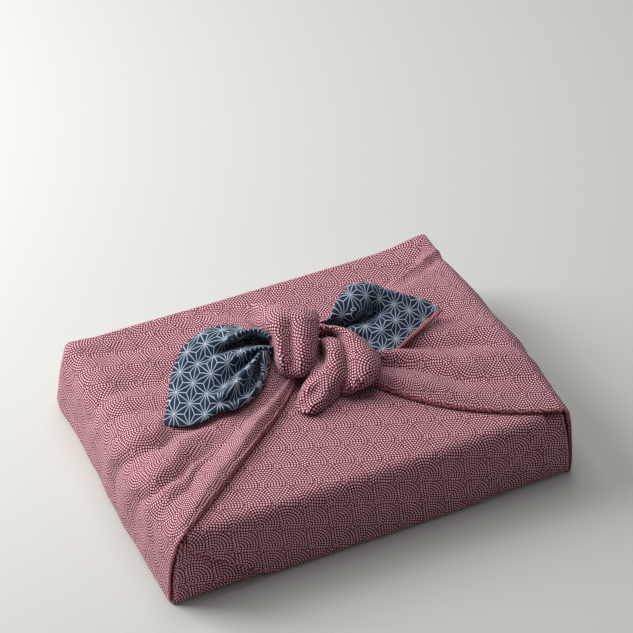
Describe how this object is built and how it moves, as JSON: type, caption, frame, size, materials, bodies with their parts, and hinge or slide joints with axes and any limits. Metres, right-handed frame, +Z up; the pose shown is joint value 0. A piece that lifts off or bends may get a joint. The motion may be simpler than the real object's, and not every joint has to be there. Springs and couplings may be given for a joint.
{
  "type": "furoshiki-wrapped box",
  "caption": "Square cotton wrapping cloth folded round a shallow box and tied on top in a square knot with two free ends.",
  "frame": {"origin": "middle of the underside, on the surface that the parcel stands on", "axes": "+X to the right along the long front edge, +Y away from the front, +Z up through the knot"},
  "size_m": [0.2754, 0.2045, 0.0826],
  "materials": {
    "cloth": "printed cotton, dusty rose dots on maroon, navy with pale lines on the other side",
    "box": null
  },
  "bodies": {
    "root": {"cloth": "cloth", "box": "box"}
  },
  "joints": []
}
